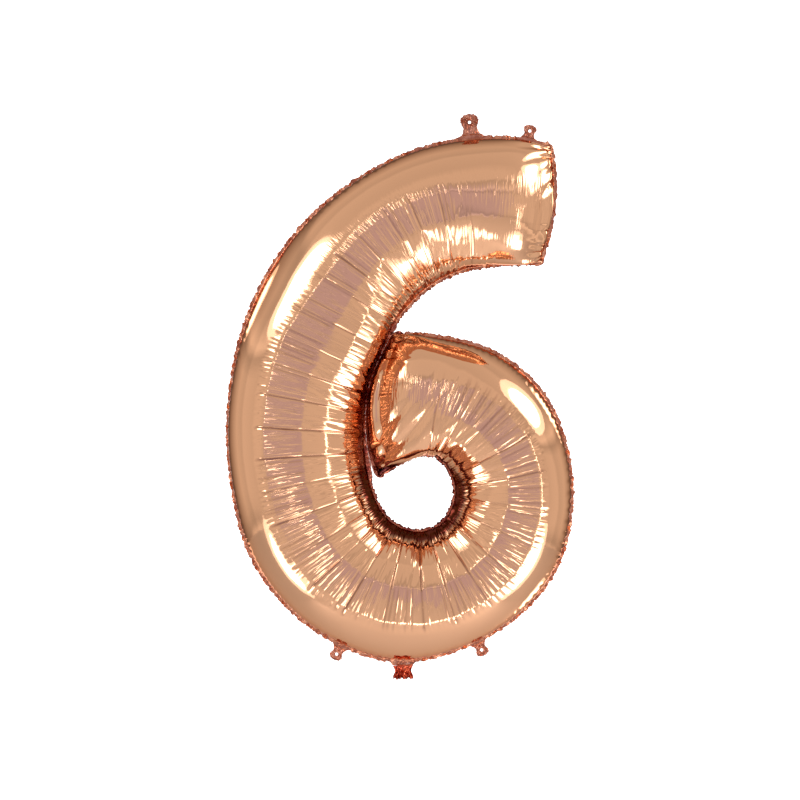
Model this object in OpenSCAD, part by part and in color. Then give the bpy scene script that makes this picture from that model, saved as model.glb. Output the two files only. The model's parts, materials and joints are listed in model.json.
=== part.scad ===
// Foil number balloon: the figure six as an inflated tube that curls round its own counter.
// The front and back panels are sheets of foil film. A flat heat seal joins them all round, and
// again round the counter and along the slit where the curl meets the stem.
// Four hanging tabs and the inflation neck fold at the seal. A film valve sits inside the neck.

/* [Number] */
// Height of the inflated figure between its seams
number_h = 849; // [500:1:1000]
// Front-to-back depth of the tube, as a share of its width
depth_share = 0.88; // [0.7:0.01:0.95]
// Length over which each end of the tube closes, as a share of its width
end_share = 0.5; // [0.4:0.05:0.7]

/* [Film and seals] */
// Thickness of each foil panel as a solid
film_t = 1.2; // [0.8:0.1:2]
// Thickness of the heat seal, where two films are one
seal_t = 0.8; // [0.6:0.1:1.2]
// Width of the seal round the outside
seal_w = 7; // [5:0.5:9]
// Width of the seal inside the counter
counter_seal_w = 5; // [4:0.5:6]

/* [Hanging tabs] */
// Head width of the large tab
big_tab_w = 28; // [24:1:32]
// Height of the large tab
big_tab_h = 34; // [28:1:38]
// Head width of the three small tabs
small_tab_w = 20; // [17:1:23]
// Height of the three small tabs
small_tab_h = 21; // [18:1:24]
// Radius of the hanging hole in each tab
hole_r = 2.5; // [1.5:0.1:3]

/* [Neck and valve] */
// Width of the inflation neck
neck_w = 33; // [28:1:40]
// Length of the inflation neck below the seal
neck_l = 22; // [18:1:30]
// Width of the valve film
valve_w = 24; // [18:1:26]
// Length of the valve flaps inside the balloon
flap_l = 105; // [60:5:120]

/* [Hidden] */

foil = "#d8a285";
foil_seal = "#c58367";
clear_film = "#e9e4dc";

// The ribs run across the tube from its inner seam to its outer seam, starting at the open end
// of the arm, down the stem, round the bowl, and back to the stem: [inner x, z, outer x, z].
// They are drawn for a figure 849 high.
ribs_h = 849;
ribs = [
    [228, 680, 246, 864],
    [135, 674, 148, 880],
    [64, 648, 27, 857],
    [14, 607, -87, 797],
    [-21, 560, -182, 708],
    [-51, 484, -246, 594],
    [-59, 397, -276, 441],
    [-50, 324, -268, 299],
    [-31, 275, -230, 180],
    [-2, 248, -136, 81],
    [33, 241, -2, 31],
    [67, 255, 148, 77],
    [86, 290, 247, 175],
    [85, 325, 276, 308],
    [66, 356, 243, 444],
    [36, 368, 166, 523],
    [6, 358, 68, 555],
    [-38, 333, -12, 558],
];
scale_k = number_h / ribs_h;
last = len(ribs) - 1;
arm_bow = 11;     // how far the arm's end curves outwards
curl_bow = 25;    // how far the curl's end curves to follow the stem
bow_ribs = 1.6;   // number of ribs over which an end's curve fades
rows = 72;        // steps along the tube
columns = 12;     // steps across each panel
fold_gap = 0.5;   // clearance between the seal's edge and what folds there
sleeve_in = 4;    // how far the valve's sleeve reaches inside the seam
flap_gap = 0.4;   // clearance between the sleeve and the flaps
sleeve_t = 0.3;   // thickness of the sleeve where it passes through the seal
flap_t = 0.5;     // thickness of a valve flap
flap_y = 0.45;    // how far each flap lies from the seam plane

// Places along the outer seam, counted in ribs from the arm's end.
s_top_left = 1.28;
s_top_right = 0.42;
s_bottom_left = 9.33;
s_bottom_right = 10.82;
s_neck = 10.04;

// A smooth curve through all the points of a list.
function spline(points, s) =
    let (n = len(points) - 1,
         i = min(floor(s), n - 1),
         f = s - i,
         b = points[i],
         c = points[i + 1],
         a = i > 0 ? points[i - 1] : 2 * b - c,
         d = i < n - 1 ? points[i + 2] : 2 * c - b)
    0.5 * (2 * b + (c - a) * f + (2 * a - 5 * b + 4 * c - d) * f * f
           + (3 * b - a - 3 * c + d) * f * f * f);

function rib(s) = scale_k * spline(ribs, s);
function inner(s) = [rib(s)[0], rib(s)[1]];
function outer(s) = [rib(s)[2], rib(s)[3]];
function middle(s) = (inner(s) + outer(s)) / 2;
function fade(x) = pow(max(0, 1 - x / bow_ribs), 2);
function bow(s) = scale_k * (curl_bow * fade(last - s) - arm_bow * fade(s));

// Ribs are closer together near both ends, where the tube closes.
function station(i) = last * (0.4 * i / rows + 0.6 * (0.5 - 0.5 * cos(180 * i / rows)));

// Distance along the tube from its nearer end to s, taken on straight steps of the middle line.
function steps_between(a, b) = [for (k = [0:11]) norm(middle(a + (b - a) * (k + 1) / 12)
                                                      - middle(a + (b - a) * k / 12))];
function total(v, k = 0) = k < len(v) ? v[k] + total(v, k + 1) : 0;
function end_distance(s) = s < last / 2 ? total(steps_between(0, s)) : total(steps_between(s, last));

// How fully the tube is open at a distance d from its end: 0 at the seam, 1 past the rounded end.
function opened(d, width) = let (e = min(1, max(0, d) / (end_share * width))) sqrt(1 - pow(1 - e, 2));

// A point of the front panel. a turns from 0 at the inner seam to 180 at the outer seam, and inset
// is how far inside the film's outer face it lies. Its y is 0 on the seams and negative in front.
function panel_point(i, a, inset) =
    let (s0 = station(i),
         pull = inset / norm(middle(last / 2 + 0.5) - middle(last / 2 - 0.5)),
         s = pull + s0 * (last - 2 * pull) / last,
         width = norm(outer(s) - inner(s)),
         across = (outer(s) - inner(s)) / width,
         along = [-across[1], across[0]],
         place = middle(s) - across * (width / 2 - inset) * cos(a)
                 + along * bow(s) * pow(sin(a), 2),
         depth = (depth_share * width / 2 - inset) * sin(a) * opened(end_distance(s) - 2 * inset, width))
    [place[0], -depth, place[1]];

// The panel is a closed shell: an outer face, an inner face, and a flat rim between them.
module panel() {
    across_n = columns + 1;
    face_n = (rows + 1) * across_n;
    points = [for (inset = [0, film_t], i = [0:rows], j = [0:columns])
              panel_point(i, 180 * j / columns, inset)];
    // Each cell is cut from the panel's corner inwards, so no corner triangle lies flat in the rim.
    outside = [for (i = [0:rows - 1], j = [0:columns - 1])
               let (a = i * across_n + j,
                    b = a + 1,
                    c = b + across_n,
                    d = a + across_n,
                    both = (i < rows / 2) == (j < columns / 2) ? [[a, b, c], [a, c, d]]
                                                               : [[a, b, d], [b, c, d]])
               for (t = both) t];
    inside = [for (t = outside) [for (k = [2, 1, 0]) t[k] + face_n]];
    edge = concat([for (j = [0:columns]) j],
                  [for (i = [1:rows]) i * across_n + columns],
                  [for (j = [1:columns]) rows * across_n + columns - j],
                  [for (i = [1:rows - 1]) (rows - i) * across_n]);
    rim = [for (k = [0:len(edge) - 1])
           let (p = edge[k], q = edge[(k + 1) % len(edge)])
           for (t = [[q, p, p + face_n], [q, p + face_n, q + face_n]]) t];
    polyhedron(points = points, faces = concat(outside, inside, rim), convexity = 8);
}

module front_panel() color(foil) translate([0, -seal_t / 2, 0]) panel();

module back_panel() color(foil) mirror([0, 1, 0]) translate([0, -seal_t / 2, 0]) panel();

// The outline of the inflated tube on its seams, as a flat shape in x and z.
module tube_outline() {
    inner_edge = [for (i = [0:rows]) inner(station(i))];
    outer_edge = [for (i = [rows:-1:0]) outer(station(i))];
    function end_curve(i) = [for (j = [1:columns - 1])
                             let (p = panel_point(i, 180 * j / columns, 0)) [p[0], p[2]]];
    arm_end = end_curve(0);
    curl_end = end_curve(rows);
    polygon(concat(inner_edge, curl_end, outer_edge, [for (j = [columns - 2:-1:0]) arm_end[j]]));
}

// Where the counter and the slit beside the curl's end lie.
module counter_region() {
    hull() {
        translate([23, 305] * scale_k) circle(r = 76 * scale_k, $fn = 32);
        translate([-52, 372] * scale_k) circle(r = 12 * scale_k, $fn = 32);
    }
    hull() {
        translate([-52, 372] * scale_k) circle(r = 12 * scale_k, $fn = 32);
        translate([-49, 470] * scale_k) circle(r = 12 * scale_k, $fn = 32);
    }
    hull() {
        translate([-49, 470] * scale_k) circle(r = 12 * scale_k, $fn = 32);
        translate([-24, 538] * scale_k) circle(r = 12 * scale_k, $fn = 32);
    }
}

// A flat piece drawn in x and z, of thickness t and centred on y.
module flat(t) rotate([90, 0, 0]) linear_extrude(t, center = true) children();

module seal_band(width) {
    difference() {
        offset(r = width, $fn = 32) tube_outline();
        offset(delta = -film_t) tube_outline();
    }
}

module outer_seam() color(foil_seal)
    difference() {
        flat(seal_t) difference() {
            seal_band(seal_w);
            counter_region();
        }
        flat(sleeve_t) valve_strip();
    }

module counter_seam() color(foil_seal) flat(seal_t)
    intersection() {
        seal_band(counter_seal_w);
        counter_region();
    }

// Places and directions along the outer seam.
function seam_angle(s) = let (d = outer(s + 0.01) - outer(s - 0.01)) atan2(d[1], d[0]);
function outwards(s) = let (a = seam_angle(s)) [sin(a), -cos(a)];
function fold_point(s, t) = outer(s) + outwards(s) * (seal_w + fold_gap + t / 2);

// Stands a piece on the outer seam at s: its own z points outwards, and starts at the fold.
module at_fold(s, t) {
    fold = fold_point(s, t);
    translate([fold[0], 0, fold[1]]) rotate([0, 180 - seam_angle(s), 0]) children();
}

// Rounds the root of a piece of thickness t about its fold, so that it can turn there.
module round_root(t) {
    reach = 200;
    intersection() {
        children();
        union() {
            rotate([0, 90, 0]) cylinder(d = t, h = reach, center = true, $fn = 32);
            translate([-reach / 2, -t / 2, 0]) cube([reach, t, reach]);
        }
    }
}

// A flat tab of two films sealed together: a round head on a root that flares into the seam.
module hang_tab(w, h) color(foil_seal)
    difference() {
        round_root(seal_t) flat(seal_t) {
            translate([0, h - w / 2]) circle(d = w, $fn = 64);
            translate([-w * 0.38, -seal_t]) square([w * 0.76, h - w / 2]);
            polygon([[-w * 0.66, -seal_t], [w * 0.66, -seal_t], [w * 0.38, w * 0.3], [-w * 0.38, w * 0.3]]);
        }
        translate([0, 0, h - w / 2]) rotate([90, 0, 0])
            cylinder(r = hole_r, h = 3 * seal_t, center = true, $fn = 48);
    }

module hang_tab_top_left() at_fold(s_top_left, seal_t) hang_tab(big_tab_w, big_tab_h);
module hang_tab_top_right() at_fold(s_top_right, seal_t) hang_tab(small_tab_w, small_tab_h);
module hang_tab_bottom_left() at_fold(s_bottom_left, seal_t) hang_tab(small_tab_w, small_tab_h);
module hang_tab_bottom_right() at_fold(s_bottom_right, seal_t) hang_tab(small_tab_w, small_tab_h);

// The neck is a front and a back film with the valve sleeve between them.
neck_t = 3 * seal_t;

module neck_layer(side, w, l, corner) at_fold(s_neck, neck_t)
    round_root(neck_t) translate([0, side * seal_t, 0]) flat(seal_t) {
        translate([-w / 2, -neck_t]) square([w, neck_t + l - corner]);
        translate([-w / 2 + corner, l - corner]) square([w - 2 * corner, corner]);
        for (x = [-1, 1]) translate([x * (w / 2 - corner), l - corner]) circle(r = corner, $fn = 32);
    }

module neck_front() color(foil_seal) neck_layer(-1, neck_w, neck_l, 5);
module neck_back() color(foil_seal) neck_layer(1, neck_w, neck_l, 5);
module valve_neck_sleeve() color(clear_film) neck_layer(0, valve_w, neck_l - 2, 1);

// The strip of the valve that passes through the outer seal, drawn in x and z.
module valve_strip() {
    translate(outer(s_neck)) rotate(seam_angle(s_neck) - 180)
        translate([-valve_w / 2, -sleeve_in]) square([valve_w, sleeve_in + seal_w]);
}

module valve_seam_sleeve() color(clear_film) flat(sleeve_t) valve_strip();

// One of the two valve films inside the balloon. They lie together and the gas presses them shut.
module valve_flap(side) {
    root = outer(s_neck) - outwards(s_neck) * (sleeve_in + flap_gap + flap_t / 2);
    translate([root[0], side * flap_y, root[1]]) rotate([0, -seam_angle(s_neck), 0])
        round_root(flap_t) flat(flap_t) {
            translate([-valve_w / 2, -flap_t]) square([valve_w, flap_t + flap_l - valve_w / 2]);
            translate([0, flap_l - valve_w / 2]) circle(d = valve_w, $fn = 48);
        }
}

module valve_flap_front() color(clear_film) valve_flap(-1);
module valve_flap_back() color(clear_film) valve_flap(1);

front_panel();
back_panel();
outer_seam();
counter_seam();
hang_tab_top_left();
hang_tab_top_right();
hang_tab_bottom_left();
hang_tab_bottom_right();
neck_front();
neck_back();
valve_neck_sleeve();
valve_seam_sleeve();
valve_flap_front();
valve_flap_back();
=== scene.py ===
import json
import math

import bpy
import numpy as np
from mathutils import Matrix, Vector


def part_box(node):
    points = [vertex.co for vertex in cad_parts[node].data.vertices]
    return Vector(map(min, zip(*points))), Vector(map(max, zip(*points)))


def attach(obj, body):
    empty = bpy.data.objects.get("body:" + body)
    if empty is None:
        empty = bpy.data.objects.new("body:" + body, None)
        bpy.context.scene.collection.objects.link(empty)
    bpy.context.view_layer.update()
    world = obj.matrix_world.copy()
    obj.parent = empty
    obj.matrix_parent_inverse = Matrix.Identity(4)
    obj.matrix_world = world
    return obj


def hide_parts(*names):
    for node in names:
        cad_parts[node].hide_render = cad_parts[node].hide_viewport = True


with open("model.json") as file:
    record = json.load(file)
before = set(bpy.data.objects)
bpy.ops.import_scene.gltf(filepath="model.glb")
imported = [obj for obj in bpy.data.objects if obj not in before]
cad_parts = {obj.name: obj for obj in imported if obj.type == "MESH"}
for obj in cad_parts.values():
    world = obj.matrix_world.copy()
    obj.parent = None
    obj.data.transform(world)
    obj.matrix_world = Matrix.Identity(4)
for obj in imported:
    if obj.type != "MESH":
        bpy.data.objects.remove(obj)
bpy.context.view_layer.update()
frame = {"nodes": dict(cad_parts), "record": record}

# ---------------------------------------------------------------- the figure, placed by the frame

# The ribs cross the tube from its inner seam to its outer seam, as the CAD part draws them, from the
# open end of the arm, down the stem and round the bowl: inner x, z and outer x, z in millimetres.
RIBS = np.array([
    [228, 680, 246, 864],
    [135, 674, 148, 880],
    [64, 648, 27, 857],
    [14, 607, -87, 797],
    [-21, 560, -182, 708],
    [-51, 484, -246, 594],
    [-59, 397, -276, 441],
    [-50, 324, -268, 299],
    [-31, 275, -230, 180],
    [-2, 248, -136, 81],
    [33, 241, -2, 31],
    [67, 255, 148, 77],
    [86, 290, 247, 175],
    [85, 325, 276, 308],
    [66, 356, 243, 444],
    [36, 368, 166, 523],
    [6, 358, 68, 555],
    [-38, 333, -12, 558],
], float)
LAST = len(RIBS) - 1

# The film's folds run straight across the tube, so each inner station faces this outer station.
FACING = np.array([
    0, 1, 2.3, 3.6, 4.4, 5.1, 6.2, 7.2, 8.2, 9.3, 10.3, 11.3, 12.6, 13.7, 14.8, 16, 16.5, 17,
])

ARM_BOW = 11.0       # how far the arm's end seam bows out
CURL_BOW = 28.0      # how far the curl's end seam bows towards the stem
DEPTH_SHARE = 0.88   # the tube's depth over its width
END_SHARE = 0.5      # the length over which each end closes, over the tube's width

TOUCH = 2 * math.atan(DEPTH_SHARE)   # half angle of the tube's round section


def catmull_rom(a, b, c, d, f):
    """The point at share f of the way from b to c, on the curve through all four."""
    return 0.5 * (
        2 * b + (c - a) * f + (2 * a - 5 * b + 4 * c - d) * f**2 + (3 * b - a - 3 * c + d) * f**3
    )


def spline(points, s):
    """A smooth curve through the points, with straight run-outs at its ends."""
    n = len(points) - 1
    i = np.minimum(np.floor(s).astype(int), n - 1)
    f = (s - i)[:, None]
    b, c = points[i], points[i + 1]
    a = np.where(i[:, None] > 0, points[np.maximum(i - 1, 0)], 2 * b - c)
    d = np.where(i[:, None] < n - 1, points[np.minimum(i + 2, n)], 2 * c - b)
    return catmull_rom(a, b, c, d, f)


def inner_seam(s):
    return spline(RIBS[:, :2], s)


def outer_seam(s):
    turned = spline(np.stack([FACING, FACING], 1), s)[:, 0]
    return spline(RIBS[:, 2:], np.clip(turned, 0, LAST))


def unit(v, axis=-1):
    return v / (np.linalg.norm(v, axis=axis, keepdims=True) + 1e-9)


def fit_to_frame():
    """Stretch the table of ribs to the box that the CAD panel really has, in millimetres."""
    s = np.linspace(0, LAST, 801)
    outline = np.concatenate([inner_seam(s), outer_seam(s)])
    outline_low, outline_high = outline.min(0), outline.max(0)
    low, high = (np.array(corner)[[0, 2]] * 1000 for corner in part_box("front_panel"))
    scale = (high - low) / (outline_high - outline_low)
    RIBS[:, 0::2] = (RIBS[:, 0::2] - outline_low[0]) * scale[0] + low[0]
    RIBS[:, 1::2] = (RIBS[:, 1::2] - outline_low[1]) * scale[1] + low[1]


fit_to_frame()

# ---------------------------------------------------------------- the film before it is blown up


def across(t):
    """How far over the tube's width a point at share t of the film's flat width lies, from 0 to 1."""
    return np.sin(TOUCH * (2 * t - 1)) / (2 * np.sin(TOUCH)) + 0.5


def start_shape(rows, columns):
    """A smooth tube: front and back film as one ring of points per row, with what the solver needs."""
    s = np.linspace(0, LAST, 4001)
    middle = (inner_seam(s) + outer_seam(s)) / 2
    run = np.r_[0, np.cumsum(np.linalg.norm(np.diff(middle, axis=0), axis=1))]
    along = np.linspace(0, run[-1], rows)
    s = np.interp(along, run, s)
    inner, outer = inner_seam(s), outer_seam(s)
    width = np.linalg.norm(outer - inner, axis=1)
    over = unit(outer - inner)
    side = np.stack([-over[:, 1], over[:, 0]], 1)
    t = np.linspace(0, 1, columns)
    rise = (np.cos(TOUCH * (2 * t - 1)) - np.cos(TOUCH)) / (2 * np.sin(TOUCH))
    from_end = np.minimum(along, run[-1] - along)
    e = np.minimum(1, from_end / (END_SHARE * width))
    opening = np.sqrt(1 - (1 - e) ** 2)
    near_curl_end = np.maximum(0, 1 - (LAST - s) / 1.6) ** 2
    near_arm_end = np.maximum(0, 1 - s / 1.6) ** 2
    bow = CURL_BOW * near_curl_end - ARM_BOW * near_arm_end
    flat = inner[:, None] + over[:, None] * (width[:, None] * across(t))[..., None]
    flat = flat + side[:, None] * (bow[:, None] * np.sin(np.pi * t) ** 2)[..., None]
    y = -(width * opening)[:, None] * rise
    front = np.stack([flat[..., 0], y, flat[..., 1]], -1)
    back = front[:, 1:-1][:, ::-1] * [1, -1, 1]
    ring = np.concatenate([front, back], 1)
    return ring, {"along": along, "width": width, "inner": inner, "outer": outer}


def film_lengths(ring, plan, columns, tangent_share=0.75):
    """Lengths that the film was cut to. A flat sheet's lengths grow evenly from the inner seam to the
    outer seam, while the blown tube's don't, so film is left over in the inner half and at the rim."""
    t = np.linspace(0, 1, columns)
    t = np.r_[t, t[1:-1][::-1]]
    lengths = np.linalg.norm(np.diff(ring, axis=0), axis=2)
    inner = np.linalg.norm(np.diff(plan["inner"], axis=0), axis=1)
    outer = np.linalg.norm(np.diff(plan["outer"], axis=0), axis=1)
    window = np.hanning(15) / np.hanning(15).sum()
    turn = np.convolve(np.pad(outer - inner, 7, mode="edge"), window, "valid")
    slope = TOUCH * np.cos(TOUCH * (2 * tangent_share - 1)) / np.sin(TOUCH)
    share = np.where(turn[:, None] > 0, t, 1 - t)
    cut = across(tangent_share) - 0.5 + slope * (share - tangent_share)
    cut = ((inner + outer) / 2)[:, None] + np.abs(turn)[:, None] * cut
    each = plan["width"] * TOUCH / np.sin(TOUCH) / (columns - 1)
    ring_lengths = np.repeat(each[:, None], ring.shape[1], 1)
    return t, lengths, np.maximum(lengths, cut), ring_lengths


def fold_lines(total, spacing, rng):
    """Where the deep folds start, along the tube, at uneven steps."""
    found = []
    x = spacing * 0.9
    while x < total - spacing * 0.6:
        found.append(x)
        x += spacing * rng.uniform(0.85, 1.15)
    return found


def plan_folds(along, columns, lines, spacing, depth, reach, seed):
    """Grooves that start the deep folds, and how much spare film each one draws in, for each point."""
    rng = np.random.default_rng(seed)
    t = np.linspace(0, 1, columns)
    half = (along[1:] + along[:-1]) / 2
    sides = []
    for shift in (0.0, 0.3):
        groove = np.zeros((len(along), columns))
        drawn = np.zeros((len(half), columns))
        for line in lines:
            start = line + rng.uniform(-shift, shift) * spacing
            end = rng.uniform(0.58, 0.68)
            at = start + rng.uniform(-0.06, 0.06) * spacing * t * 2
            fade = np.clip((end - t) / 0.12, 0, 1) * np.clip(t / 0.05, 0, 1)
            groove -= depth * np.exp(-(((along[:, None] - at) / reach) ** 2)) * fade
            drawn += np.exp(-(((half[:, None] - at) / (reach * 1.2)) ** 2))
        sides.append((groove, drawn))
    return [np.concatenate([front, back[:, 1:-1][:, ::-1]], 1) for front, back in zip(*sides)]


def gather(lengths, cut, drawn, t, step, spacing, share):
    """Give the deep folds their share of the film left over, and spread the rest evenly."""
    size = int(round(spacing / step))
    kernel = np.ones(size) / size
    padded = np.pad(drawn, ((size, size), (0, 0)), mode="edge")
    mean = np.stack([np.convolve(column, kernel, "same")[size:-size] for column in padded.T], 1)
    part = share * np.clip((0.72 - t) / 0.08, 0, 1) * np.clip(t / 0.04, 0, 1)
    return lengths + (cut - lengths) * (1 - part + part * drawn / (mean + 1e-6))


# ---------------------------------------------------------------- the solver

FOLD_SPACING = 50.0   # from one deep fold to the next
FOLD_REACH = 4.0      # half width of the groove that starts a fold
FOLD_DEPTH = 7.0
FOLD_SHARE = 0.75     # how much of the spare film goes into the deep folds
SEAM_SLACK = 1.0      # how far a seam may stray from its line
DRIFT_SLACK = 3.0     # how far a point may drift along the tube
PULL = 0.05           # the share of any further way that each step takes back


class Film:
    """The film as a net of points that hardly stretches, bends freely and is pushed out by the gas.
    Each row is a ring: over the front from the inner seam to the outer seam, and back behind."""

    def __init__(self, rows, columns, lines):
        ring, plan = start_shape(rows, columns)
        t, lengths, cut, ring_lengths = film_lengths(ring, plan, columns)
        step = plan["along"][1]
        groove, drawn = plan_folds(
            plan["along"], columns, lines, FOLD_SPACING, FOLD_DEPTH, FOLD_REACH, 4
        )
        cut = gather(lengths, cut, drawn, t, step, FOLD_SPACING, FOLD_SHARE)
        tangent = unit(np.gradient(ring, axis=0))
        normal = unit(np.cross(tangent, np.roll(ring, -1, 1) - np.roll(ring, 1, 1)))
        if normal[rows // 2, columns // 2, 1] > 0:
            normal = -normal
        self.columns = columns
        self.home = self.pack(ring)
        self.points = self.pack(ring + normal * groove[..., None])
        self.speed = np.zeros_like(self.points)
        self.tangent = self.pack(tangent)
        self.cut = cut.astype(np.float32)
        self.ring_lengths = ring_lengths.astype(np.float32)
        mean_cut = (self.cut + np.roll(self.cut, -1, 1)) / 2
        mean_ring = (self.ring_lengths[:-1] + self.ring_lengths[1:]) / 2
        self.diagonals = np.sqrt(mean_cut**2 + mean_ring**2)
        self.seams = []
        for column, line in ((0, plan["inner"]), (columns - 1, plan["outer"])):
            along = unit(np.gradient(line, axis=0))
            across_seam = np.stack([-along[:, 1], along[:, 0]])
            self.seams.append((column, line.astype(np.float32), across_seam.astype(np.float32)))
        self.ends = [(0, self.pack(ring[0])), (-1, self.pack(ring[-1]))]
        area = np.cross(np.gradient(ring, axis=0), (np.roll(ring, -1, 1) - np.roll(ring, 1, 1)) / 2)
        self.cell = 4 * np.median(np.linalg.norm(area, axis=2))
        self.outwards = 1.0 if area[rows // 2, columns // 2, 1] < 0 else -1.0

    @staticmethod
    def pack(a):
        return np.ascontiguousarray(np.moveaxis(a, -1, 0)).astype(np.float32)

    @staticmethod
    def hold(a, b, length, stretch, squeeze):
        """Bring two sets of points to their length apart: two weights, if too far or too near."""
        d = b - a
        q = np.sqrt(d[0] * d[0] + d[1] * d[1] + d[2] * d[2]) + np.float32(1e-6)
        c = (q - length) / q
        c *= np.where(c > 0, np.float32(stretch / 2), np.float32(squeeze / 2))
        d *= c
        a += d
        b -= d

    def gas(self, push):
        """The push on each point, which grows with its share of the film's area."""
        x = self.points
        up = np.empty_like(x)
        up[:, 1:-1] = x[:, 2:] - x[:, :-2]
        up[:, 0] = x[:, 1] - x[:, 0]
        up[:, -1] = x[:, -1] - x[:, -2]
        on = np.empty_like(x)
        on[:, :, 1:-1] = x[:, :, 2:] - x[:, :, :-2]
        on[:, :, 0] = x[:, :, 1] - x[:, :, -1]
        on[:, :, -1] = x[:, :, 0] - x[:, :, -2]
        n = np.stack([
            up[1] * on[2] - up[2] * on[1],
            up[2] * on[0] - up[0] * on[2],
            up[0] * on[1] - up[1] * on[0],
        ])
        return n * np.float32(self.outwards * push / self.cell)

    def stay_in_order(self, least):
        """Neighbouring rows keep their order along the tube, so that no fold turns inside out."""
        for a in (0, 1):
            low, high = self.points[:, a:-1:2], self.points[:, a + 1::2]
            t = self.tangent[:, a:-1:2]
            short = np.float32(least) * self.cut[a::2] - ((high - low) * t).sum(0)
            short = np.maximum(short, 0) * np.float32(0.5)
            low -= t * short
            high += t * short

    @staticmethod
    def pulled_back(off, slack):
        """The part of a stray that one step takes back."""
        return np.sign(off) * np.maximum(np.abs(off) - np.float32(slack), 0) * np.float32(PULL)

    def hold_seams(self):
        """The seams keep to their lines, and at each end the two films meet."""
        x = self.points
        drift = ((x - self.home) * self.tangent).sum(0)
        x -= self.tangent * self.pulled_back(drift, DRIFT_SLACK)
        for column, line, across_seam in self.seams:
            off = (x[0, :, column] - line[:, 0]) * across_seam[0]
            off = off + (x[2, :, column] - line[:, 1]) * across_seam[1]
            off = self.pulled_back(off, SEAM_SLACK)
            x[0, :, column] -= off * across_seam[0]
            x[2, :, column] -= off * across_seam[1]
            y = x[1, :, column]
            x[1, :, column] = y - self.pulled_back(y, SEAM_SLACK) - y * np.float32(0.02)
        last = self.columns - 1
        for row, line in self.ends:
            front, back = x[:, row, 1:last], x[:, row, last + 1:][:, ::-1]
            met = (front + back) / 2
            met[1] *= np.float32(0.95)
            met[0::2] -= (met - line[:, 1:last])[0::2] * np.float32(0.04)
            x[:, row, 1:last] = met
            x[:, row, last + 1:] = met[:, ::-1]

    def step(self, push):
        """Move on with the gas, and then bring the film back to its lengths."""
        x = self.points
        self.speed *= np.float32(0.985)
        self.speed += self.gas(push)
        before = x.copy()
        x += self.speed
        hold = self.hold
        for a in (0, 1):
            hold(x[:, a:-1:2], x[:, a + 1::2], self.cut[a::2], 1.0, 0.6)
        hold(x[:, :, 0::2], x[:, :, 1::2], self.ring_lengths[:, 0::2], 1.0, 0.6)
        hold(x[:, :, 1:-1:2], x[:, :, 2::2], self.ring_lengths[:, 1:-1:2], 1.0, 0.6)
        hold(x[:, :, -1], x[:, :, 0], self.ring_lengths[:, -1], 1.0, 0.6)
        for a in (0, 1):
            low, high, length = x[:, a:-1:2], x[:, a + 1::2], self.diagonals[a::2]
            hold(low[:, :, :-1], high[:, :, 1:], length[:, :-1], 0.8, 0.24)
            hold(high[:, :, :-1], low[:, :, 1:], length[:, :-1], 0.8, 0.24)
            hold(low[:, :, -1], high[:, :, 0], length[:, -1], 0.8, 0.24)
            hold(high[:, :, -1], low[:, :, 0], length[:, -1], 0.8, 0.24)
        two = (self.cut[:-1] + self.cut[1:]) * np.float32(0.985)
        for a in range(4):
            hold(x[:, a:-2:4], x[:, a + 2::4], two[a::4], 0.0, 0.01)
        self.stay_in_order(0.05)
        self.hold_seams()
        self.speed = x - before


def finer(x, rows, columns, old):
    """The same net with more rows and columns, on smooth curves through its points."""
    def along_axis(a, count, axis):
        n = a.shape[axis]
        at = np.linspace(0, n - 1, count)
        i = np.minimum(at.astype(int), n - 2)
        shape = [1] * a.ndim
        shape[axis] = -1
        f = (at - i).reshape(shape)
        around = (np.take(a, np.clip(i + k, 0, n - 1), axis) for k in (-1, 0, 1, 2))
        return catmull_rom(*around, f)

    front = x[:, :, :old]
    back = np.concatenate([x[:, :, old - 1:], x[:, :, :1]], 2)
    front = along_axis(along_axis(front, rows, 1), columns, 2)
    back = along_axis(along_axis(back, rows, 1), columns, 2)
    return np.concatenate([front, back[:, :, 1:-1]], 2).astype(np.float32)


ROWS, COLUMNS = 523, 73


def inflate():
    """Blow the film up on a coarse net, and then on the full one, which takes about 20 seconds."""
    rough_rows, rough_columns = (ROWS + 1) // 2, (COLUMNS + 1) // 2
    _, plan = start_shape(rough_rows, rough_columns)
    lines = fold_lines(plan["along"][-1], FOLD_SPACING, np.random.default_rng(4))
    rough = Film(rough_rows, rough_columns, lines)
    for k in range(900):
        rough.step(0.024 if k < 270 else 0.012)
    full = Film(ROWS, COLUMNS, lines)
    full.points = finer(rough.points, ROWS, COLUMNS, rough_columns)
    full.points += np.random.default_rng(5).normal(0, 0.12, full.points.shape).astype(np.float32)
    for k in range(1200):
        full.step(0.004 if k < 720 else 0.002)
    return full.points


film = inflate()
film = finer(film, 2 * ROWS - 1, COLUMNS, COLUMNS).astype(float)
front_film = np.moveaxis(film[:, :, :COLUMNS], 0, -1)
back_film = np.moveaxis(np.concatenate([film[:, :, COLUMNS - 1:], film[:, :, :1]], 2), 0, -1)[:, ::-1]

# ---------------------------------------------------------------- the pressed facets of the inner half

# In the inner half the spare film is tucked into creases across the tube, with flat facets between
# them. The facets stand in tiers, whose edges lie at these shares of the film's width: in the arm,
# where the folds stay short, and in the bowl.
ARM_TIERS = np.array([0.02, 0.09, 0.17, 0.28, 0.40, 0.56, 0.64])
BOWL_TIERS = np.array([0.02, 0.09, 0.18, 0.31, 0.445, 0.645, 0.74])
TIERS = len(BOWL_TIERS)

# How far the facets' corners stand off the smooth shape at each tier's edge, in millimetres: the
# spread, and the mean.
LIFT_SPREAD = [0, 0.6, 1.2, 1.5, 1.6, 0.5, 0]
LIFT = [0, 2.0, 4.0, 0.5, 0, 0, 0]
CREASE_HALF = 1.7        # half width of a crease
DEEPEST_CREASE = 1.9
SHORT_CREASES = 24.0     # spacing of the short creases in the outermost band of facets


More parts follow.
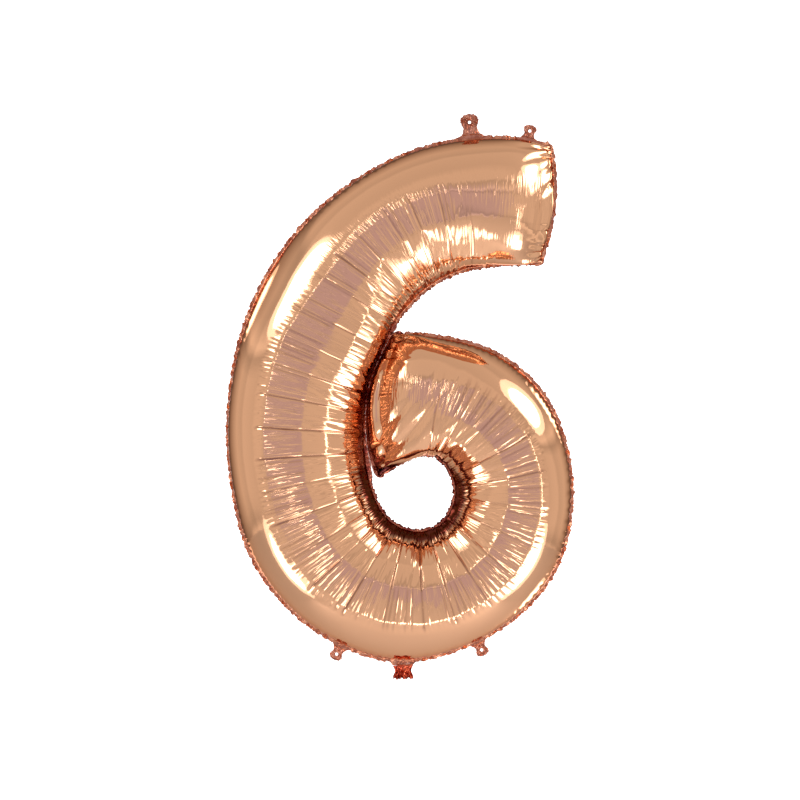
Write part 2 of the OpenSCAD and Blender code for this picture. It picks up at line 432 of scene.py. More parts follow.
def soft_step(x, low, high):
    f = np.clip((x - low) / (high - low), 0, 1)
    return f * f * (3 - 2 * f)


def ripple(s, waves, seed):
    """Uneven waves along a line: each wave is a length and a height in millimetres."""
    rng = np.random.default_rng(seed)
    total = np.zeros(np.shape(s))
    for length, height in waves:
        for spread in (0.8, 1.0, 1.27):
            total += height / 2 * np.sin(2 * np.pi * s / (length * spread) + rng.uniform(0, 2 * np.pi))
    return total


def smooth_rows(points, reach):
    """The film without its folds: each line along the tube is averaged over this many rows each way."""
    window = np.hanning(2 * reach + 1) / np.hanning(2 * reach + 1).sum()
    first = 2 * points[:1] - points[reach:0:-1]
    last = 2 * points[-1:] - points[-2:-reach - 2:-1]
    padded = np.concatenate([first, points, last])
    flat = padded.reshape(len(padded), -1)
    size = len(padded) + len(window)
    spectrum = np.fft.rfft(flat, size, axis=0) * np.fft.rfft(window, size)[:, None]
    return np.fft.irfft(spectrum, size, axis=0)[2 * reach:2 * reach + len(points)].reshape(points.shape)


def facet(points, seed, sign):
    """Swap the solved folds of the inner half for creases and flat facets on the same smooth shape.

    Gives the new points and how deep in a crease each one lies, from 0 to 1, for painted shade."""
    rng = np.random.default_rng(seed)
    rows, columns = points.shape[:2]
    base = smooth_rows(points, 34)
    over, down = np.gradient(base, axis=1), np.gradient(base, axis=0)
    normal = unit(np.cross(over, down)) * sign
    total = np.linalg.norm(np.diff(base[:, columns // 2], axis=0), axis=1).sum()
    per_row = (rows - 1) / total
    starts = np.array(fold_lines(total, FOLD_SPACING, rng))
    starts = np.concatenate([[-10], starts, [total + 10]])
    tilts = rng.uniform(-5, 5, len(starts))
    t = np.linspace(0, 1, columns)
    row = np.arange(rows)
    into_bowl = soft_step(row / per_row, 330, 560)[:, None]
    tiers = ARM_TIERS * (1 - into_bowl) + BOWL_TIERS * into_bowl
    lifts = rng.normal(0, 1.0, (len(starts), TIERS)) * LIFT_SPREAD + LIFT
    depths = rng.uniform(0.8, DEEPEST_CREASE, (len(starts), 1))
    depths = depths * rng.choice([0.6, 1.0, 1.2], (len(starts), TIERS))
    corners = np.zeros((len(starts), TIERS, 3))
    for k, (start, tilt) in enumerate(zip(starts, tilts)):
        at = tiers[int(np.clip(start * per_row, 0, rows - 1))]
        for m, tier in enumerate(at):
            i = int(np.clip((start + tilt * tier) * per_row, 0, rows - 1))
            j = tier * (columns - 1)
            low = int(j)
            point = base[i, low] * (1 - j + low) + base[i, low + 1] * (j - low)
            corners[k, m] = point + normal[i, low] * lifts[k, m]
    hatch = ripple(row / per_row, [(5.5, 0.3), (8.5, 0.4)], seed + 20)
    comb = ripple(row / per_row, [(12.5, 0.7), (7.5, 0.35)], seed + 21)
    short_lines = np.sort(rng.uniform(0, total, int(total / SHORT_CREASES))) * per_row
    from_short_line = np.abs(row[:, None] - short_lines).min(1) / per_row
    edge_at = tiers[:, 5]
    # The film near each end is calmer than the solver's.
    from_end = np.minimum(row / per_row, (total - row / per_row) * 1.6)
    calmed = 0.7 * soft_step(from_end, 4, 25) * (1 - soft_step(from_end, 110, 200))
    points = points - (points - base) * calmed[:, None, None]
    result = points.copy()
    crease_shade = np.zeros((rows, columns))
    for j in range(columns):
        m = np.clip((tiers <= t[j]).sum(1) - 1, 0, TIERS - 2)
        b = np.clip((t[j] - tiers[row, m]) / (tiers[row, m + 1] - tiers[row, m]), 0, 1)[:, None]
        lines = (starts + tilts * t[j]) * per_row
        k = np.clip(np.searchsorted(lines, row, "right") - 1, 0, len(lines) - 2)
        a = np.clip((row - lines[k]) / (lines[k + 1] - lines[k]), 0, 1)[:, None]
        low = corners[k, m] * (1 - a) + corners[k + 1, m] * a
        high = corners[k, m + 1] * (1 - a) + corners[k + 1, m + 1] * a
        flat = low * (1 - b) + high * b
        crown = 0.8 * (4 * a * (1 - a) * (4 * b * (1 - b)) ** 0.5)[:, 0]
        away = np.minimum(row - lines[k], lines[k + 1] - row) / per_row
        deep = np.where((row - lines[k]) < (lines[k + 1] - row), depths[k, m], depths[k + 1, m])
        groove = deep * np.exp(-(away / CREASE_HALF) ** 2)
        band = soft_step(t[j], tiers[:, 4] - 0.02, tiers[:, 4] + 0.02)
        groove += 0.8 * band * np.exp(-(from_short_line / 1.5) ** 2)
        ridge = 0.5 * np.exp(-((t[j] - edge_at + 0.01) / 0.012) ** 2)
        inner = 1 - soft_step(t[j], 0.12, 0.24)
        raised = crown + ridge - groove + hatch * (0.25 + 0.75 * band) + comb * inner
        shaped = flat * 0.85 + base[:, j] * 0.15 + normal[:, j] * raised[:, None]
        # The facets start at the inner seam, end past the crest, and fade out near the tube's ends.
        share = soft_step(t[j], 0.03, 0.09) * (1 - soft_step(t[j], edge_at, edge_at + 0.05))
        share = share * soft_step(row / per_row, 50 + 150 * t[j], 95 + 220 * t[j])
        share = share * soft_step(total - row / per_row, 45 + 60 * t[j], 85 + 90 * t[j])
        kept = (points[:, j] - base[:, j]) * (0.2 + 0.5 * inner)
        result[:, j] = points[:, j] * (1 - share[:, None]) + (shaped + kept) * share[:, None]
        # Painted shade: the deeper the crease, the darker the film is painted there.
        crease_shade[:, j] = np.clip(groove * share / DEEPEST_CREASE, 0, 1)
    return result, crease_shade


front_film, front_painted_shade = facet(front_film, 11, 1.0)
back_film, back_painted_shade = facet(back_film, 12, -1.0)

# The film is crimped where it rolls into the hole, and it is painted darker there as shade, most of
# all beside and below the hole.
HOLE_RISE = 62.0    # the hole's middle above the lowest point of the counter seal
low, high = (np.array(corner)[[0, 2]] * 1000 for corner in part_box("counter_seam"))
hole_middle = np.array([(low[0] + high[0]) / 2, low[1] + HOLE_RISE])
from_middle = front_film[:, 0, 0::2] - hole_middle
distance = np.linalg.norm(from_middle, axis=1)
by_hole = soft_step(-distance, -92, -80)
below = soft_step(-from_middle[:, 1] / distance, -0.8, -0.15)
hole_shade_width = 0.06 + by_hole[:, None] * (0.025 + 0.05 * below[:, None])
rim = 1 - soft_step(np.linspace(0, 1, COLUMNS)[None], hole_shade_width * 0.8, hole_shade_width * 1.15)
rim = rim * (0.45 + 0.55 * by_hole[:, None])
# Painted shade: the creases' painted shade, weakened, together with the painted shade round the hole.
front_painted_shade = np.maximum(front_painted_shade * 0.7, rim)
back_painted_shade = np.maximum(back_painted_shade * 0.7, rim)

# ---------------------------------------------------------------- mesh helpers


def make_piece(name, points, faces, body, slot, uv=None, painted_light=None):
    """points in millimetres, faces of four, uv one pair per point, marks one number per point, which the
    materials read as painted light: how much painted shade darkens the film in a crease and round the
    hole, and how much painted highlight lies on the line along the slit."""
    mesh = bpy.data.meshes.new(name)
    mesh.from_pydata((np.asarray(points).reshape(-1, 3) / 1000).tolist(), [], np.asarray(faces).tolist())
    if uv is not None:
        layer = mesh.uv_layers.new(name="film")
        index = np.empty(len(mesh.loops), dtype=np.int32)
        mesh.loops.foreach_get("vertex_index", index)
        layer.data.foreach_set("uv", np.asarray(uv).reshape(-1, 2)[index].astype(np.float32).ravel())
    if painted_light is not None:
        layer = mesh.attributes.new("painted_shade_and_highlight", "FLOAT", "POINT")
        layer.data.foreach_set("value", np.asarray(painted_light).astype(np.float32).ravel())
    mesh.polygons.foreach_set("use_smooth", [True] * len(mesh.polygons))
    mesh.validate()
    piece = bpy.data.objects.new(name, mesh)
    bpy.context.collection.objects.link(piece)
    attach(piece, body)
    return piece


def grid_faces(rows, columns, closed=False, offset=0, flip=False):
    """Faces of a grid of points, wrapping round its columns where it is closed."""
    index = np.arange(rows * columns).reshape(rows, columns) + offset
    if closed:
        index = np.concatenate([index, index[:, :1]], 1)
    quads = np.stack([index[:-1, :-1], index[:-1, 1:], index[1:, 1:], index[1:, :-1]], -1).reshape(-1, 4)
    return quads[:, ::-1] if flip else quads


def film_solid(points, thickness, closed=False):
    """A thin solid about a grid of points: two skins and the rim between them."""
    rows, columns = points.shape[:2]
    down = np.gradient(points, axis=0)
    if closed:
        over = (np.roll(points, -1, 1) - np.roll(points, 1, 1)) / 2
    else:
        over = np.gradient(points, axis=1)
    normal = unit(np.cross(over, down))
    skins = np.concatenate([points + normal * thickness / 2, points - normal * thickness / 2])
    half = rows * columns
    faces = [grid_faces(rows, columns, closed), grid_faces(rows, columns, closed, half, True)]
    index = np.arange(half).reshape(rows, columns)
    edges = [(index[0], True), (index[-1], False)]
    if closed:
        edges = [(np.append(line, line[0]), flip) for line, flip in edges]
    else:
        edges += [(index[:, 0], False), (index[:, -1], True)]
    for line, flip in edges:
        rim = np.stack([line[:-1], line[1:], line[1:] + half, line[:-1] + half], -1)
        faces.append(rim if flip else rim[:, ::-1])
    return skins, np.concatenate(faces)


def crumple(a, b, lengths, depth, seed):
    """Sharp creases in every direction, as in film that has been squeezed and let go."""
    rng = np.random.default_rng(seed)
    total = np.zeros_like(a)
    for length in lengths:
        turn = rng.uniform(0, np.pi)
        phase = rng.uniform(0, 2 * np.pi)
        wave = np.sin(np.pi * (a * np.cos(turn) + b * np.sin(turn)) / length + phase)
        total += depth * length / lengths[0] * (np.abs(wave) - 0.64)
    return total


# ---------------------------------------------------------------- the two panels

# The film's coordinates are metres along the tube and the share of its width. The back panel starts
# beyond the front panel's end, so that its ribs differ.
BACK_START = 2.0
steps = np.linalg.norm(np.diff(film[:, :, COLUMNS // 2], axis=1), axis=0)
along = np.linspace(0, 1, film.shape[1])[:, None] * steps.sum() / 1000
t = np.linspace(0, 1, COLUMNS)[None]
front_uv = np.stack(np.broadcast_arrays(along, t), -1)
back_uv = np.stack(np.broadcast_arrays(along + BACK_START, t), -1)
faces = grid_faces(film.shape[1], COLUMNS)
film_front = make_piece("film_front", front_film, faces, "balloon", "foil_film", front_uv, front_painted_shade)
faces = faces[:, ::-1]
film_back = make_piece("film_back", back_film, faces, "balloon", "foil_film", back_uv, back_painted_shade)
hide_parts("front_panel")
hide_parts("back_panel")

# ---------------------------------------------------------------- the heat seal round the edge

SEAL_WIDTH = 5.5          # round the outside
COUNTER_SEAL_WIDTH = 4.6  # round the hole
COUNTER_REACH = 84.0      # the counter's seal is the part this near to the hole's middle
SLIT_WIDTH = 24.0         # and the part where two edges of the film are this near to each other
SEAL_THICKNESS = 0.4

# The edge of the film, from the arm's end along the inner seam and back along the outer seam.
edge = np.concatenate([
    front_film[:-1, 0],
    front_film[-1, :-1],
    front_film[:0:-1, -1],
    front_film[0, :0:-1],
])


def smooth_loop(line, reach):
    """A closed line of points, averaged over this many points each way."""
    window = np.hanning(2 * reach + 1) / np.hanning(2 * reach + 1).sum()
    padded = np.concatenate([line[-reach:], line, line[:reach]])
    return np.stack([np.convolve(column, window, "valid") for column in padded.T], 1)


flat_edge = smooth_loop(edge[:, [0, 2]], 6)
heading = unit(np.roll(flat_edge, -1, 0) - np.roll(flat_edge, 1, 0))
following = np.roll(flat_edge, -1, 0)
area = np.sum(flat_edge[:, 0] * following[:, 1] - following[:, 0] * flat_edge[:, 1])
outward = np.stack([heading[:, 1], -heading[:, 0]], 1) * np.sign(area)
outward = unit(smooth_loop(outward, 4))
run = np.r_[0, np.cumsum(np.linalg.norm(np.diff(flat_edge, axis=0), axis=1))]

# How far each point of the edge is from the edge that faces it over the slit.
ALONG_THE_EDGE = 60.0     # points nearer to each other along the edge don't face each other
gap = np.full(len(edge), 1e3)
for k in range(len(edge)):
    apart = np.abs(run - run[k])
    apart = np.minimum(apart, run[-1] - apart)
    far = apart > ALONG_THE_EDGE
    gap[k] = np.min(np.linalg.norm(flat_edge[far] - flat_edge[k], axis=1))
gap = smooth_loop(gap[:, None], 4)[:, 0]
in_slit = gap < SLIT_WIDTH
in_counter = in_slit | (np.linalg.norm(flat_edge - hole_middle, axis=1) < COUNTER_REACH)

joints = {joint["name"]: joint for joint in frame["record"]["behaviour"]["joints"]}
mounts = {mount["name"]: mount for mount in frame["record"]["mounts"]}
# At the folds of the tabs and the neck the seal lies calm and reaches to the fold.
WIDE_FOLDS = ("top_left_tab_fold", "neck_fold")
NARROW_FOLDS = ("top_right_tab_fold", "bottom_left_tab_fold", "bottom_right_tab_fold")
calm = np.ones(len(edge))
fold_reach = np.zeros(len(edge))
for name in WIDE_FOLDS + NARROW_FOLDS:
    at = np.array(joints[name]["pos_m"])[[0, 2]] * 1000
    reach = 20 if name in WIDE_FOLDS else 14
    away = np.linalg.norm(flat_edge - at, axis=1)
    calm = np.minimum(calm, np.clip(away / reach - 0.55, 0.12, 1))
    reached = (away.min() + 0.6) * soft_step(-away, -1.4 * reach, -0.9 * reach)
    fold_reach = np.maximum(fold_reach, reached)

# The two sides of the seal meet in the middle of the slit.
seal = smooth_loop(np.where(in_counter, COUNTER_SEAL_WIDTH, SEAL_WIDTH)[:, None], 8)[:, 0]
seal = np.maximum(seal, fold_reach)
seal += (gap / 2 + 0.7 - seal) * soft_step(-gap, -SLIT_WIDTH, -14)

# The pressure rolls the counter's seal back, most of all in the slit.
turned_back = smooth_loop((1.5 * in_counter + 1.2 * in_slit)[:, None], 10)[:, 0]
out_steps = np.linspace(0, 1, 5)
wave = ripple(run, [(8, 1.3), (14, 1.5), (33, 1.0)], 21) * calm
wobble = ripple(run, [(6, 0.8), (13, 0.9), (29, 0.6)], 22) * calm * soft_step(gap, 16, 26)
strip = np.zeros((len(out_steps), len(edge), 3))
for k, share in enumerate(out_steps):
    reach = (seal * share + wobble * share**2)[:, None]
    strip[k, :, 0::2] = edge[:, 0::2] * (1 - share) + flat_edge * share + outward * reach
    strip[k, :, 1] = edge[:, 1] * (1 - 0.5 * share) + wave * share**1.5 + turned_back * share


def seal_piece(name, chosen, replaced):
    """The strip of seal along the chosen run of the edge, with a painted highlight where its sides
    meet in the slit.
    """
    first = int(np.flatnonzero(chosen & ~np.roll(chosen, 1))[0])
    order = (np.arange(len(chosen)) + first) % len(chosen)
    order = order[:int(chosen.sum()) + 1]
    points, faces = film_solid(strip[:, order], SEAL_THICKNESS)
    # Painted highlight: the outer edge of the seal, where its sides meet in the slit.
    pale = (out_steps[:, None] > 0.9) * soft_step(-gap, -20, -14)[order]
    piece = make_piece(name, points, faces, "balloon", "foil_seal", painted_light=np.stack([pale, pale]))
    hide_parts(replaced)
    return piece


seal_outside = seal_piece("seal_outside", ~in_counter, "outer_seam")
seal_counter = seal_piece("seal_counter", in_counter, "counter_seam")

# ---------------------------------------------------------------- the hanging tabs

# Half widths of a tab from its fold to its tip, as shares of its width: a flared foot, a waist, a head.
TAB_HEIGHTS = np.array([0, 0.1, 0.24, 0.38, 0.52, 0.66, 0.8, 0.9, 0.97, 1.0])
TAB_HALVES = np.array([0.54, 0.48, 0.42, 0.42, 0.49, 0.53, 0.50, 0.39, 0.22, 0.0])


def placed(joint_name, hole):
    """The fold's place, the directions along the fold and outwards, and how far off the hole is.
    All are in x and z, and in millimetres but for the hole."""
    fold = np.array(joints[joint_name]["pos_m"])[[0, 2]] * 1000
    out = np.array(hole) * 1000 - fold
    reach = np.linalg.norm(out)
    out = out / reach
    return fold, np.array([-out[1], out[0]]), out, reach


def in_place(fold, over, out, a, b, y):
    """A point a along the fold, b outwards from it and y behind the seam's plane."""
    return np.stack([fold[0] + over[0] * a + out[0] * b, y, fold[1] + over[1] * a + out[1] * b], -1)


def tab_piece(name, joint_name, mount_name, width, height, seed):
    """A crumpled tab: rings of points from its hole out to its outline."""
    mount = mounts[mount_name]
    fold, over, out, hole_at = placed(joint_name, np.array(mount["pos_m"])[[0, 2]])
    hole_r = mount["dims"]["r_mm"]
    side = np.stack([-TAB_HALVES * width, TAB_HEIGHTS * height], 1)
    control = np.concatenate([side, (side * [-1, 1])[-2::-1]])
    curve = spline(control, np.linspace(0, len(control) - 1, 120))
    foot = np.linspace(control[-1], control[0], 26)[1:-1]
    outline = np.concatenate([curve, foot])
    angle = np.arctan2(outline[:, 1] - hole_at, outline[:, 0])
    ring = np.stack([np.cos(angle), np.sin(angle)], 1) * hole_r + [0, hole_at]
    steps = np.linspace(0, 1, 15)[:, None, None] ** 1.15
    flat = ring * (1 - steps) + outline * steps
    a, b = flat[..., 0], flat[..., 1]
    lengths = (width * 0.36, width * 0.27, width * 0.2, width * 0.15, width * 0.11)
    rise = crumple(a, b, lengths, width * 0.055, seed)
    foot_pleats = np.sin(a / width * 2 * np.pi * 3.2 + seed) * width * 0.05
    rise += foot_pleats * np.clip(1 - b / (height * 0.5), 0, 1)
    rise *= np.clip(b / 2.5, 0, 1)
    waves = [(width * 0.5, 0.035), (width * 0.23, 0.03)]
    shrink = 1 + ripple(angle * width, waves, seed)[None] * steps[..., 0]
    a = a * shrink
    b = np.where(b > 1.0, hole_at + (b - hole_at) * shrink, b)
    grid = in_place(fold, over, out, a, np.maximum(b, 0.1), rise)
    points, faces = film_solid(grid, 0.35, closed=True)
    piece = make_piece(name, points, faces, "hang_" + name, "foil_seal")
    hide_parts("hang_" + name)
    return piece


tabs = [
    tab_piece("tab_top_left", "top_left_tab_fold", "hang_hole_top_left", 28.0, 34.0, 31),
    tab_piece("tab_top_right", "top_right_tab_fold", "hang_hole_top_right", 20.0, 21.0, 32),
    tab_piece("tab_bottom_left", "bottom_left_tab_fold", "hang_hole_bottom_left", 20.0, 21.0, 33),
    tab_piece("tab_bottom_right", "bottom_right_tab_fold", "hang_hole_bottom_right", 20.0, 21.0, 34),
]

# ---------------------------------------------------------------- the inflation tail and its valve


def tail_point(a, b, lift, length, seed):
    """The tail is gathered at its foot and fans out to its mouth, in pleats that deepen on the way."""
    down = b / length
    pinch = 1 - 0.2 * np.sin(np.pi * np.clip(down * 1.25, 0, 1)) ** 1.5
    pleats = np.abs(((a / 6.5 + 0.31 * np.sin(a / 5.0 + seed)) % 1.0) * 2 - 1) - 0.5
    fold = pleats * (1.2 + 3.6 * down) * np.clip(b / 3, 0, 1)
    fold += crumple(a, b, (7.0, 5.0, 3.6, 11.0), 1.3, seed) * np.clip(b / 4, 0, 1) * (0.4 + down)
    return a * pinch, b, fold + lift


mouth = np.array(mounts["inflation_mouth"]["pos_m"])[[0, 2]]
neck_fold, neck_over, neck_out, neck_length = placed("neck_fold", mouth)
NECK_WIDTH = 33.0
VALVE_WIDTH = 24.0


def tail_piece(name, width, length, lift, thickness, slot, replaced):
    """One film of the tail, with a ragged mouth."""
    a, b = np.meshgrid(np.linspace(-width / 2, width / 2, 75), np.linspace(0.1, length, 19))
    ragged = 1 + 0.05 * np.sin(a / 1.9) + 0.04 * np.sin(a / 0.9 + 1)
    b = b * np.where(b > length * 0.6, ragged, 1)
    b = np.minimum(b, neck_length + 1.5)
    points = in_place(neck_fold, neck_over, neck_out, *tail_point(a, b, lift, neck_length, 2))
    piece = make_piece(name, *film_solid(points, thickness), "neck", slot)
    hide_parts(replaced)
    return piece


tail_front = tail_piece("tail_front", NECK_WIDTH, neck_length, -0.35, 0.3, "foil_seal", "neck_front")
tail_back = tail_piece("tail_back", NECK_WIDTH, neck_length, 0.35, 0.3, "foil_seal", "neck_back")
tail_valve = tail_piece(
    "tail_valve", VALVE_WIDTH, neck_length * 0.92, 0.0, 0.15, "valve_film", "valve_neck_sleeve"
)

# ---------------------------------------------------------------- materials


class Nodes:
    """Short calls for building one material's nodes."""

    def __init__(self, name):
        self.material = bpy.data.materials.new(name)
        self.material.use_nodes = True
        self.tree = self.material.node_tree
        self.shader = self.tree.nodes["Principled BSDF"]

    def add(self, kind, inputs=(), **settings):
        node = self.tree.nodes.new(kind)
        for key, value in settings.items():
            setattr(node, key, value)
        for key, value in dict(inputs).items():
            if isinstance(value, bpy.types.NodeSocket):
                self.tree.links.new(value, node.inputs[key])
            else:
                node.inputs[key].default_value = value
        return node

    def maths(self, operation, a, b):
        return self.add("ShaderNodeMath", {0: a, 1: b}, operation=operation).outputs[0]

    def noise(self, vector, scale, detail=2.0, rough=0.5):
        inputs = {"Vector": vector, "Scale": scale, "Detail": detail, "Roughness": rough}
        return self.add("ShaderNodeTexNoise", inputs).outputs["Fac"]

    def ramp(self, value, low, high, to_low=0.0, to_high=1.0):
        inputs = {"Value": value, "From Min": low, "From Max": high, "To Min": to_low, "To Max": to_high}
        return self.add("ShaderNodeMapRange", inputs, interpolation_type="SMOOTHSTEP").outputs[0]

    def bump(self, height, distance, strength=1.0, normal=None):
        inputs = {"Height": height, "Distance": distance, "Strength": strength}
        if normal is not None:
            inputs["Normal"] = normal
        return self.add("ShaderNodeBump", inputs).outputs["Normal"]

    def blend(self, factor, a, b):
        return self.add("ShaderNodeMix", {0: factor, 6: a, 7: b}, data_type="RGBA").outputs[2]

    def give(self, **inputs):
        for key, value in inputs.items():
            socket = self.shader.inputs[key.replace("_", " ")]
            if isinstance(value, bpy.types.NodeSocket):
                self.tree.links.new(value, socket)
            else:
                socket.default_value = value
        return self.material


def foil_film():
    """Mirror film: fine ribs run across the tube where the film is gathered, and end past its crest."""
    n = Nodes("foil_film")
    where = n.add("ShaderNodeTexCoord").outputs["Object"]
    uv = n.add("ShaderNodeUVMap", uv_map="film").outputs["UV"]
    apart = n.add("ShaderNodeSeparateXYZ", {0: uv})
    gathered = n.ramp(apart.outputs["Y"], 0.60, 0.69, 1.0, 0.0)
    crest = n.maths("MULTIPLY", n.ramp(apart.outputs["Y"], 0.44, 0.52), gathered)
    ribs_at = n.add("ShaderNodeVectorMath", {0: uv, 1: (300.0, 7.0, 1.0)}, operation="MULTIPLY")
    ribs = n.noise(ribs_at.outputs[0], 1.0, 1.5)
    amount = n.maths("ADD", n.maths("MULTIPLY", gathered, 0.22), n.maths("MULTIPLY", crest, 0.78))
    ribs = n.maths("MULTIPLY", ribs, amount)
    waves = n.noise(where, 26.0, 2.0)
    grain = n.noise(where, 420.0, 1.0)
    normal = n.bump(waves, 0.0006, 0.35)
    normal = n.bump(ribs, 0.0014, 1.0, normal)
    normal = n.bump(grain, 0.00002, 0.5, normal)
    tone = n.blend(n.noise(where, 3.0), (0.735, 0.400, 0.238, 1), (0.78, 0.435, 0.264, 1))
    # Painted shade: the film darkens towards this deep red-brown in its creases and round the hole.
    crease = n.add("ShaderNodeAttribute", attribute_name="painted_shade_and_highlight").outputs["Fac"]
    tone = n.blend(crease, tone, (0.13, 0.03, 0.028, 1))
    dull = n.ramp(n.noise(where, 8.0, 3.0), 0.3, 0.8, 0.05, 0.10)
    return n.give(Base_Color=tone, Metallic=1.0, Roughness=dull, Normal=normal,
                  Specular_Tint=(0.80, 0.52, 0.42, 1))


def foil_seal(name, shade, light):
    """The same film where it is heat-sealed: puckered, duller and deeper in colour, but with a painted
    highlight where the two sides of the seal meet in the slit."""
    n = Nodes(name)
    where = n.add("ShaderNodeTexCoord").outputs["Object"]
    pucker = n.noise(where, 170.0, 3.0, 0.6)
    crease = n.add("ShaderNodeTexVoronoi", {"Vector": where, "Scale": 240.0}, feature="DISTANCE_TO_EDGE")
    normal = n.bump(pucker, 0.0012, 0.8)
    normal = n.bump(crease.outputs["Distance"], 0.0006, 0.6, normal)
    tone = n.blend(n.ramp(n.noise(where, 60.0), 0.35, 0.65), shade, light)
    # Painted highlight: a pale tone where the two sides of the seal meet in the slit.
    pale = n.add("ShaderNodeAttribute", attribute_name="painted_shade_and_highlight").outputs["Fac"]
    tone = n.blend(n.maths("MULTIPLY", pale, 0.8), tone, (0.95, 0.80, 0.72, 1))
    dull = n.ramp(pucker, 0.3, 0.7, 0.14, 0.30)
    return n.give(Base_Color=tone, Metallic=1.0, Roughness=dull, Normal=normal)


def valve_film():
    """Clear film, faintly milky, with fine draw lines."""
    n = Nodes("valve_film")
    where = n.add("ShaderNodeTexCoord").outputs["Object"]
    drawn = n.add("ShaderNodeVectorMath", {0: where, 1: (900.0, 900.0, 40.0)}, operation="MULTIPLY")
    lines = n.noise(drawn.outputs[0], 1.0)
    tone = n.blend(n.noise(where, 40.0), (0.93, 0.92, 0.90, 1), (0.98, 0.98, 0.97, 1))
    dull = n.ramp(lines, 0.3, 0.7, 0.12, 0.28)
    return n.give(Base_Color=tone, Roughness=dull, Transmission_Weight=0.85, IOR=1.5, Alpha=0.6,
                  Normal=n.bump(lines, 0.0001, 0.4))


film_material, valve_material = foil_film(), valve_film()
seal_material = foil_seal("foil_seal", (0.38, 0.12, 0.065, 1), (0.62, 0.27, 0.16, 1))
tab_material = foil_seal("foil_tab", (0.30, 0.09, 0.055, 1), (0.52, 0.22, 0.15, 1))
tail_material = foil_seal("foil_tail", (0.34, 0.04, 0.02, 1), (0.52, 0.10, 0.05, 1))
# The seal round the hole and along the slit is darker still than the other seals, as painted shade.
rolled_shaded_material = foil_seal("foil_rolled_seal_painted_shade", (0.20, 0.035, 0.028, 1), (0.46, 0.15, 0.095, 1))
for material, pieces in (
    (film_material, (film_front, film_back)),
    (seal_material, (seal_outside,)),
    (rolled_shaded_material, (seal_counter,)),
    (tab_material, tabs),
    (tail_material, (tail_front, tail_back)),
    (valve_material, (tail_valve,)),
):
    for piece in pieces:
        piece.data.materials.append(material)
for name in ("valve_seam_sleeve", "valve_flap_front", "valve_flap_back"):
    node = frame["nodes"][name]
    node.data.materials.clear()
    node.data.materials.append(valve_material)

# ---------------------------------------------------------------- stage, light and camera

FLOOR = -0.60


def stage_material():
    """A matt white: greyer under the balloon, and glowing where the floor rises into the backdrop."""
    n = Nodes("stage")
    where = n.add("ShaderNodeTexCoord").outputs["Object"]
    back = n.add("ShaderNodeSeparateXYZ", {0: where}).outputs["Y"]
    tone = n.blend(n.noise(where, 2.0), (0.84, 0.84, 0.84, 1), (0.87, 0.87, 0.87, 1))
    tone = n.blend(n.ramp(back, -1.0, 0.3), tone, (0.60, 0.60, 0.61, 1))
    tone = n.blend(n.ramp(back, 1.8, 2.4), tone, (0.90, 0.90, 0.90, 1))
    glow = n.ramp(back, 2.0, 2.4, 0.12, 0.95)
    return n.give(Base_Color=tone, Roughness=0.9, Emission_Color=(1, 1, 1, 1), Emission_Strength=glow,
                  Specular_IOR_Level=0.0)


def make_stage():
    """A pale floor that sweeps up into a backdrop, which is only as wide as the camera needs."""
    sweep = [(4.1 + 0.9 * math.sin(a), 0.9 - 0.9 * math.cos(a)) for a in np.linspace(0, math.pi / 2, 25)]
    profile = np.array([(-3.2, 0.0), (1.0, 0.0)] + sweep + [(5.0, 2.7)])
    half = np.interp(profile[:, 0], [-3.2, 1.0, 5.0], [2.6, 2.2, 1.7])
    share = np.linspace(-1, 1, 5)
    points = np.stack([np.stack([half * c, profile[:, 0], profile[:, 1] + FLOOR], 1) for c in share])
    mesh = bpy.data.meshes.new("stage")
    mesh.from_pydata(points.reshape(-1, 3).tolist(), [], grid_faces(*points.shape[:2]).tolist())
    mesh.polygons.foreach_set("use_smooth", [True] * len(mesh.polygons))
    mesh.materials.append(stage_material())
    stage = bpy.data.objects.new("stage", mesh)
    bpy.context.collection.objects.link(stage)


def softbox(name, at, facing, size, brightness):
    """An oval lamp of this width and height, whose face is this bright."""
    light = bpy.data.lights.new(name, "AREA")
    light.shape = "ELLIPSE"
    light.size, light.size_y = size
    light.energy = brightness * math.pi**2 / 4 * size[0] * size[1]
    lamp = bpy.data.objects.new(name, light)
    bpy.context.collection.objects.link(lamp)
    lamp.location = at
    lamp.rotation_euler = Vector(facing).to_track_quat("-Z", "Y").to_euler()
    lamp.visible_camera = False


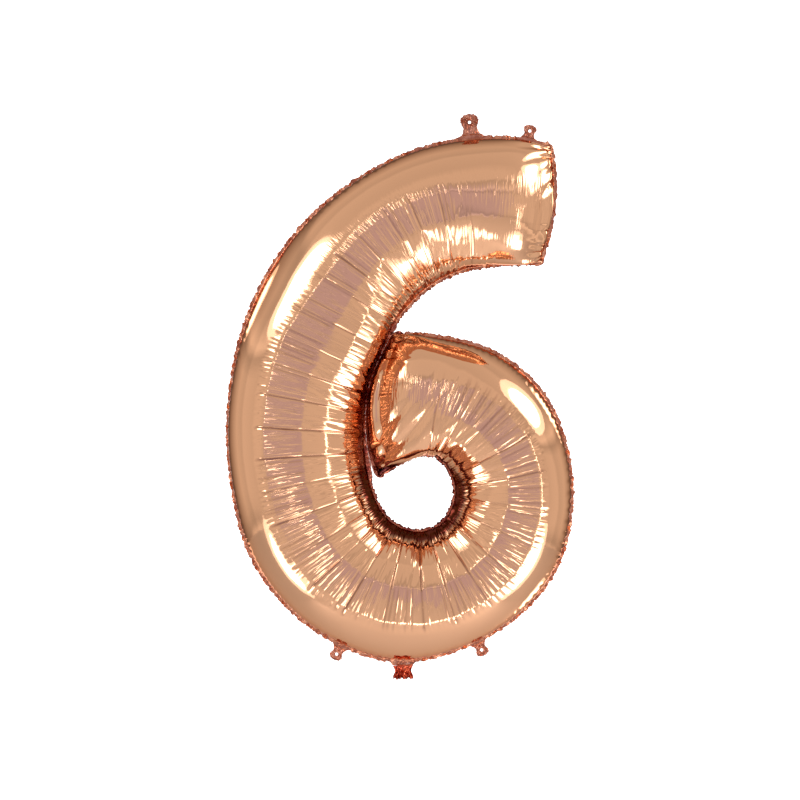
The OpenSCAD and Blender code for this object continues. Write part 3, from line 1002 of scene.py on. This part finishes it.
def room():
    """A pale room: a little cooler in front, darker behind, with bands of light above and below."""
    world = bpy.data.worlds.new("room")
    bpy.context.scene.world = world
    world.use_nodes = True
    nodes, links = world.node_tree.nodes, world.node_tree.links
    apart = nodes.new("ShaderNodeSeparateXYZ")
    links.new(nodes.new("ShaderNodeTexCoord").outputs["Generated"], apart.inputs[0])

    def shades(axis, stops):
        """A shade for each direction along the axis, from -1 at 0.0 to 1 at 1.0. Each stop is a place,
        a brightness and how warm it is, or how cool below 0."""
        scaled = nodes.new("ShaderNodeMapRange")
        scaled.inputs["From Min"].default_value = -1.0
        links.new(apart.outputs[axis], scaled.inputs["Value"])
        ramp = nodes.new("ShaderNodeValToRGB")
        links.new(scaled.outputs[0], ramp.inputs[0])
        places = ramp.color_ramp.elements
        for stop in stops[1:-1]:
            places.new(stop[0])
        for place, (position, shade, warmth) in zip(places, stops):
            place.position = position
            place.color = (shade, shade * (1 - 0.4 * abs(warmth)), shade * (1 - warmth), 1)
        return ramp.outputs[0]

    rearward = shades("Y", (
        (0.00, 0.67, -0.17), (0.055, 0.70, -0.12), (0.085, 0.84, 0.10), (0.24, 0.92, 0.12),
        (0.30, 0.82, 0.12), (0.50, 0.90, 0.12), (0.54, 0.76, 0.12), (0.66, 0.86, 0.12),
        (0.74, 0.70, 0.10), (0.86, 0.42, 0.06), (0.93, 0.20, 0.05), (1.00, 0.24, 0.00),
    ))
    upward = shades("Z", (
        (0.00, 0.86, 0.0), (0.20, 0.90, 0.0), (0.22, 0.60, 0.0), (0.26, 0.92, 0.0), (0.31, 1.40, 0.0),
        (0.33, 0.70, 0.0), (0.36, 0.92, 0.0), (0.39, 1.00, 0.0), (0.61, 1.00, 0.0), (0.64, 0.72, 0.0),
        (0.67, 1.30, 0.0), (0.71, 0.95, 0.0), (0.77, 0.72, 0.0), (0.80, 0.98, 0.0), (1.00, 0.90, 0.0),
    ))
    both = nodes.new("ShaderNodeMix")
    both.data_type, both.blend_type = "RGBA", "MULTIPLY"
    both.inputs["Factor"].default_value = 1.0
    links.new(rearward, both.inputs["A"])
    links.new(upward, both.inputs["B"])
    links.new(both.outputs["Result"], nodes["Background"].inputs[0])


make_stage()
room()

# Each lamp's name, place, direction, size and brightness. A bigger and dimmer lamp behind each one
# softens the edge of its reflection.
lamps = (
    ("upper_left", (-0.85, -0.37, 1.07), (1, 0.3, -0.5), (0.44, 0.32), 5.0),
    ("lower_left", (-0.85, -0.32, -0.29), (1, 0.3, 0.5), (0.32, 0.46), 5.0),
    ("upper_right", (1.44, -0.15, 1.46), (-1, 0.1, -0.8), (0.90, 0.75), 5.0),
    ("lower_right", (0.85, -0.46, -0.24), (-1, 0.4, 0.5), (0.44, 0.54), 5.0),
    ("low_front", (0.14, -1.00, -0.56), (0, 0.3, 1), (0.56, 0.36), 3.5),
    ("right_slot", (0.85, -0.58, 0.43), (-1, 0.5, 0.0), (0.06, 0.40), 4.0),
    ("front_left", (-0.85, -1.70, 1.25), (0.45, 1, -0.4), (0.12, 0.80), 4.0),
    ("rear_left", (-1.20, 1.05, 1.08), (1, -0.8, -0.5), (0.34, 0.24), 4.0),
    ("rear_right", (1.20, 0.90, 1.00), (-1, -0.8, -0.4), (0.34, 0.50), 4.0),
    ("rear_low", (0.85, 0.60, -0.45), (-1, -0.6, 0.7), (0.34, 0.24), 4.0),
)
for name, at, facing, size, brightness in lamps:
    softbox(name, at, facing, size, brightness)
    behind = Vector(at) - Vector(facing).normalized() * 0.01
    softbox(name + "_rim", behind, facing, (size[0] * 1.5, size[1] * 1.4), 1.3)

camera = bpy.data.cameras.new("camera")
camera.lens = 110
camera.sensor_width = 36
holder = bpy.data.objects.new("camera", camera)
bpy.context.collection.objects.link(holder)
holder.location = (-0.0008, -3.975, 0.4537)
holder.rotation_euler = (math.pi / 2, 0, 0)
bpy.context.scene.camera = holder
bpy.context.scene.view_settings.view_transform = "Standard"
